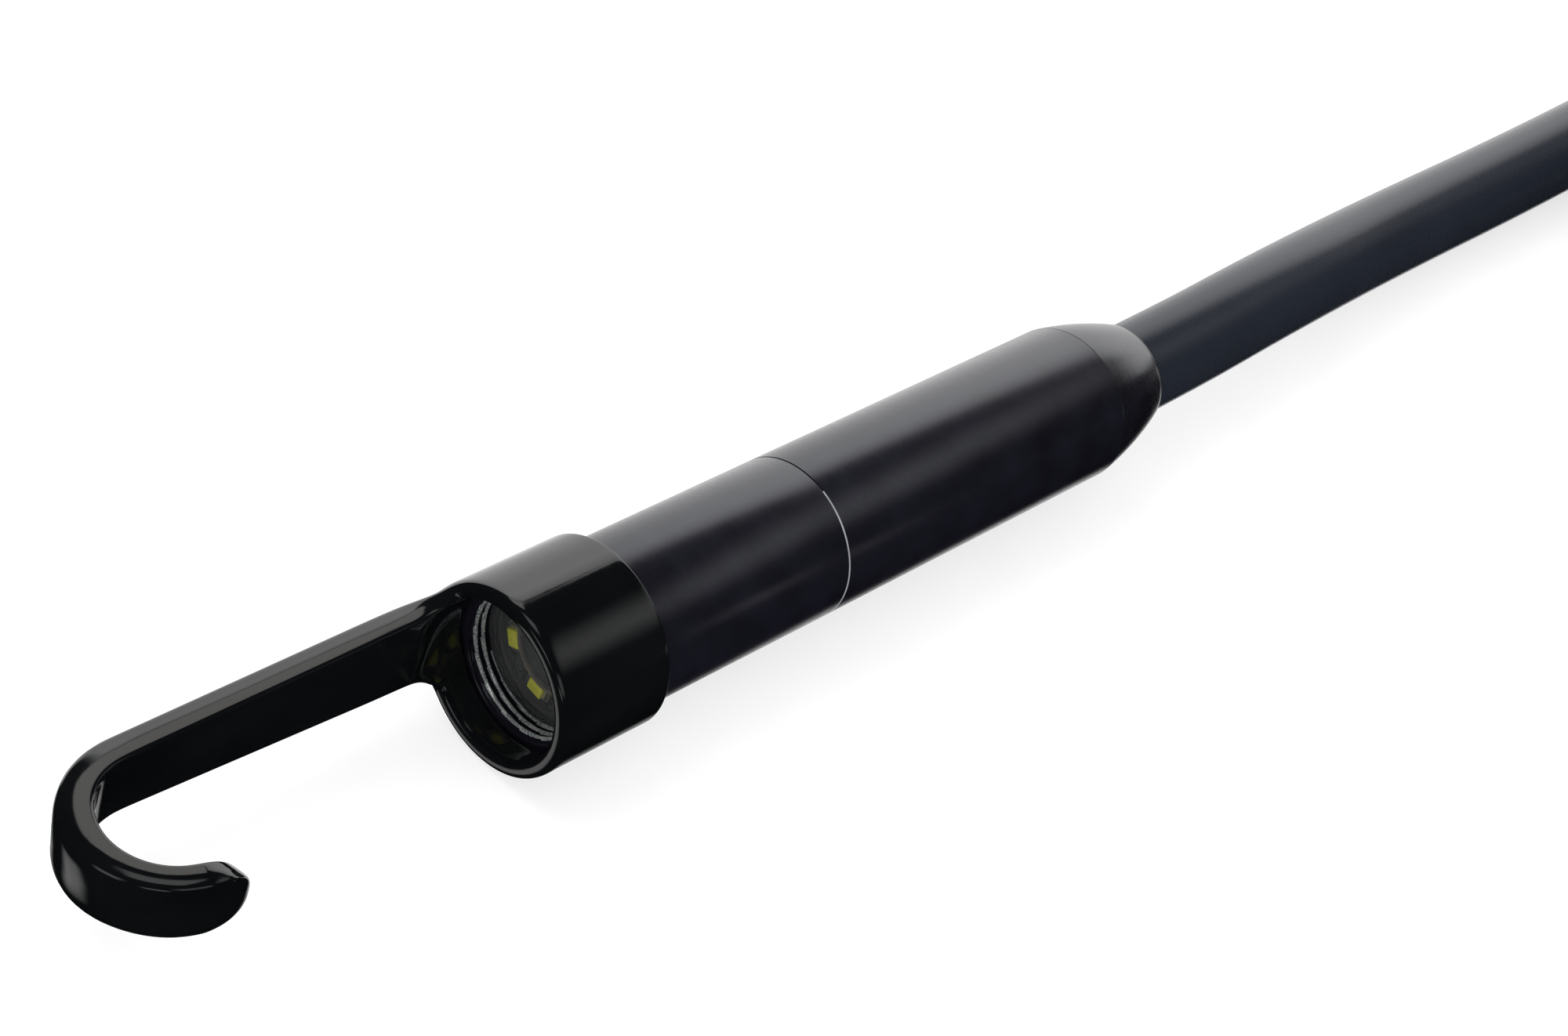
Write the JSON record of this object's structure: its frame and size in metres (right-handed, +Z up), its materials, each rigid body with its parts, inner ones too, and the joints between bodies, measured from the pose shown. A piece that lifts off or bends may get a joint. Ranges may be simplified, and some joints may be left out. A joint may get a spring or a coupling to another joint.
{
  "type": "inspection camera head",
  "caption": "Slim round camera head with lights around its lens, a slip-on pickup hook on its nose and a semi-rigid cable with a round plug.",
  "frame": {"origin": "centre of the nose's mouth, on the barrel's axis", "axes": "+X along the barrel from the nose to the cable, +Y towards the hook's arm, +Z up from the surface it lies on"},
  "size_m": [0.1852, 0.0779, 0.015],
  "materials": {
    "hook_plastic": "gloss",
    "seal_rubber": "matte",
    "black_anodised": "satin black anodised",
    "nickel": "satin nickel plate",
    "window_glass": "polished",
    "lens_glass": "coated",
    "filter_glass": "coated",
    "board": "solder mask",
    "baffle": "matte",
    "led_ceramic": "matte",
    "led_phosphor": "satin",
    "black_plastic": "matte",
    "sensor": "gloss",
    "spacer": "matte",
    "wire_jacket": "satin",
    "chip_plastic": "matte",
    "polyimide": "satin",
    "cable_jacket": "satin",
    "tie_fabric": "woven",
    "boot_rubber": "matte",
    "spring_steel": "bright",
    "insert_plastic": "matte",
    "gold_pins": "gold plate"
  },
  "bodies": {
    "head": {"front_barrel": "black_anodised", "rear_barrel": "black_anodised", "tail_cap": "black_anodised", "barrel_seal": "seal_rubber", "gland_seal": "seal_rubber", "cable_ferrule": "nickel", "window": "window_glass", "window_seal": "seal_rubber", "led_board": "board", "light_baffle": "baffle", "led_bases": "led_ceramic", "led_phosphors": "led_phosphor", "lens_barrel": "black_plastic", "front_lens": "lens_glass", "aperture_stop": "black_plastic", "rear_lens": "lens_glass", "lens_mount": "black_plastic", "ir_filter": "filter_glass", "image_sensor": "sensor", "sensor_board": "board", "stack_spacer": "spacer", "stack_retainer": "nickel", "led_wires": "wire_jacket", "processor_board": "board", "board_chips": "chip_plastic", "flex_link": "polyimide", "board_sleeve": "polyimide", "cable_cores": "wire_jacket", "cable_run": "cable_jacket", "cable_coil": "cable_jacket", "coil_tie": "tie_fabric", "cable_lead": "cable_jacket", "plug_boot": "boot_rubber", "plug_clamp": "black_anodised", "plug_body": "nickel", "nut_clip": "spring_steel", "plug_insert": "insert_plastic", "plug_pins": "gold_pins", "plug_seal": "seal_rubber"},
    "grip": {"grip_ring": "seal_rubber"},
    "hook": {"hook_attachment": "hook_plastic"},
    "nut": {"coupling_nut": "nickel"}
  },
  "joints": [
    {"name": "hook_slide", "type": "slide", "parent": "head", "child": "grip", "axis": [-1, 0, 0], "range_m": [0, 0.008]},
    {"name": "hook_turn", "type": "hinge", "parent": "grip", "child": "hook", "pos_m": [0.0036, 0, 0], "axis": [1, 0, 0], "continuous": true},
    {"name": "nut_turn", "type": "hinge", "parent": "head", "child": "nut", "pos_m": [0.06, -0.0646, 0.00234], "axis": [1, 0, 0], "continuous": true}
  ]
}
